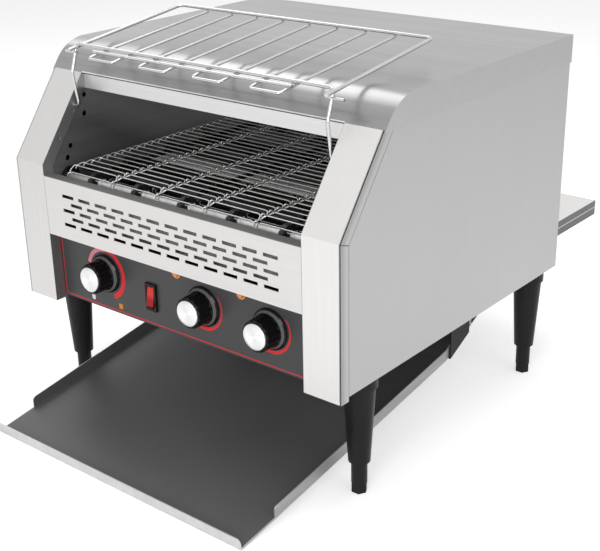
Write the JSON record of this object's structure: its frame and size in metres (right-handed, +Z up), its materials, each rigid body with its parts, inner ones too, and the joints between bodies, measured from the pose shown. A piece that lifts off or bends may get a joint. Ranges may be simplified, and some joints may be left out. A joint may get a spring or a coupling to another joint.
{
  "type": "conveyor toaster",
  "caption": "Countertop conveyor toaster in bent stainless sheet with a sloped front mouth, wire belt, wire bread rack, dark control panel, sloped exit chute and tapered legs.",
  "frame": {"origin": "centre of the bounding box at the table, under the toaster", "axes": "+X to the right seen from the front, +Y to the back, +Z up"},
  "size_m": [0.4704, 0.645, 0.445],
  "materials": {
    "brushed_steel": "brushed",
    "plain_steel": "galvanised",
    "bright_wire": "bright",
    "belt_wire": "drawn wire",
    "dark_panel": "satin",
    "black_plastic": "gloss",
    "matt_black": "matt",
    "leg_black": "satin",
    "knob_cap": "brushed",
    "red_plastic": "translucent gloss",
    "amber_lens": "translucent gloss",
    "heater_sheath": "heat darkened",
    "ceramic_white": "matt",
    "shaft_steel": "turned",
    "bush_bronze": "plain",
    "terminal_plastic": "matt",
    "regulator_plastic": "matt",
    "motor_paint": "satin"
  },
  "bodies": {
    "housing": {"belt_rails": "plain_steel", "cable_gland": "matt_black", "chute_hangers": "plain_steel", "compartment_floor": "plain_steel", "control_panel": "dark_panel", "drive_chain": "belt_wire", "fan_frame": "matt_black", "fan_guard": "plain_steel", "front_baffle": "brushed_steel", "front_left_leg": "leg_black", "front_right_leg": "leg_black", "gear_motor": "motor_paint", "heat_shield": "plain_steel", "heater_holders": "ceramic_white", "indicator_lamps": "amber_lens", "left_base_channel": "plain_steel", "left_front_post": "brushed_steel", "left_inner_wall": "plain_steel", "left_side_panel": "brushed_steel", "lower_heat_regulator": "regulator_plastic", "lower_heaters": "heater_sheath", "lower_reflector": "plain_steel", "rear_deflector": "plain_steel", "rear_left_leg": "leg_black", "rear_panel": "plain_steel", "rear_right_leg": "leg_black", "rear_shelf": "brushed_steel", "right_base_channel": "plain_steel", "right_front_post": "brushed_steel", "right_inner_wall": "plain_steel", "right_side_panel": "brushed_steel", "rocker_frame": "black_plastic", "screws": "plain_steel", "shaft_bearings": "bush_bronze", "speed_control": "regulator_plastic", "terminal_block": "terminal_plastic", "top_cover": "brushed_steel", "upper_heat_regulator": "regulator_plastic", "upper_heaters": "heater_sheath", "upper_reflector": "plain_steel", "vent_panel": "brushed_steel", "wire_belt": "belt_wire"},
    "bread_rack": {"bread_rack": "bright_wire"},
    "speed_knob": {"speed_knob": "black_plastic", "speed_knob_cap": "knob_cap"},
    "upper_heat_knob": {"upper_heat_knob": "black_plastic", "upper_heat_knob_cap": "knob_cap"},
    "lower_heat_knob": {"lower_heat_knob": "black_plastic", "lower_heat_knob_cap": "knob_cap"},
    "power_rocker": {"power_rocker": "red_plastic"},
    "drive_shaft": {"drive_shaft": "shaft_steel"},
    "idler_shaft": {"idler_shaft": "shaft_steel"},
    "motor_sprocket": {"motor_sprocket": "shaft_steel"},
    "fan_rotor": {"fan_rotor": "matt_black"},
    "exit_chute": {"exit_chute": "brushed_steel"},
    "front_left_foot": {"front_left_foot": "leg_black"},
    "front_right_foot": {"front_right_foot": "leg_black"},
    "rear_left_foot": {"rear_left_foot": "leg_black"},
    "rear_right_foot": {"rear_right_foot": "leg_black"}
  },
  "joints": [
    {"name": "bread_rack_swing", "type": "hinge", "parent": "housing", "child": "bread_rack", "pos_m": [0, -0.1635, 0.354], "axis": [1, 0, 0], "range_deg": [0, 90]},
    {"name": "speed_knob_turn", "type": "hinge", "parent": "housing", "child": "speed_knob", "pos_m": [-0.1122, -0.2195, 0.179], "axis": [0, 1, 0], "range_deg": [0, 270]},
    {"name": "upper_heat_knob_turn", "type": "hinge", "parent": "housing", "child": "upper_heat_knob", "pos_m": [0.04002, -0.2195, 0.179], "axis": [0, 1, 0], "range_deg": [0, 270]},
    {"name": "lower_heat_knob_turn", "type": "hinge", "parent": "housing", "child": "lower_heat_knob", "pos_m": [0.13296, -0.2195, 0.179], "axis": [0, 1, 0], "range_deg": [0, 270]},
    {"name": "power_rocker_tip", "type": "hinge", "parent": "housing", "child": "power_rocker", "pos_m": [-0.03852, -0.2025, 0.169], "axis": [1, 0, 0], "range_deg": [0, 17.5]},
    {"name": "drive_shaft_turn", "type": "hinge", "parent": "housing", "child": "drive_shaft", "pos_m": [0, 0.14278, 0.27372], "axis": [-1, 0, 0], "continuous": true},
    {"name": "idler_shaft_turn", "type": "hinge", "parent": "housing", "child": "idler_shaft", "pos_m": [0, -0.18122, 0.27372], "axis": [-1, 0, 0], "continuous": true},
    {"name": "motor_sprocket_turn", "type": "hinge", "parent": "housing", "child": "motor_sprocket", "pos_m": [0, -0.03452, 0.19], "axis": [-1, 0, 0], "continuous": true},
    {"name": "fan_rotor_turn", "type": "hinge", "parent": "housing", "child": "fan_rotor", "pos_m": [-0.05984, -0.0295, 0.15], "axis": [0, 0, 1], "continuous": true},
    {"name": "exit_chute_pull", "type": "slide", "parent": "housing", "child": "exit_chute", "axis": [0, -1, 0], "range_m": [0, 0.04]},
    {"name": "front_left_foot_height", "type": "slide", "parent": "housing", "child": "front_left_foot", "axis": [0, 0, -1], "range_m": [0, 0.02]},
    {"name": "front_right_foot_height", "type": "slide", "parent": "housing", "child": "front_right_foot", "axis": [0, 0, -1], "range_m": [0, 0.02]},
    {"name": "rear_left_foot_height", "type": "slide", "parent": "housing", "child": "rear_left_foot", "axis": [0, 0, -1], "range_m": [0, 0.02]},
    {"name": "rear_right_foot_height", "type": "slide", "parent": "housing", "child": "rear_right_foot", "axis": [0, 0, -1], "range_m": [0, 0.02]}
  ],
  "couplings": [
    {"joint": "idler_shaft_turn", "follows": "drive_shaft_turn", "ratio": 1},
    {"joint": "motor_sprocket_turn", "follows": "drive_shaft_turn", "ratio": 1.5}
  ]
}
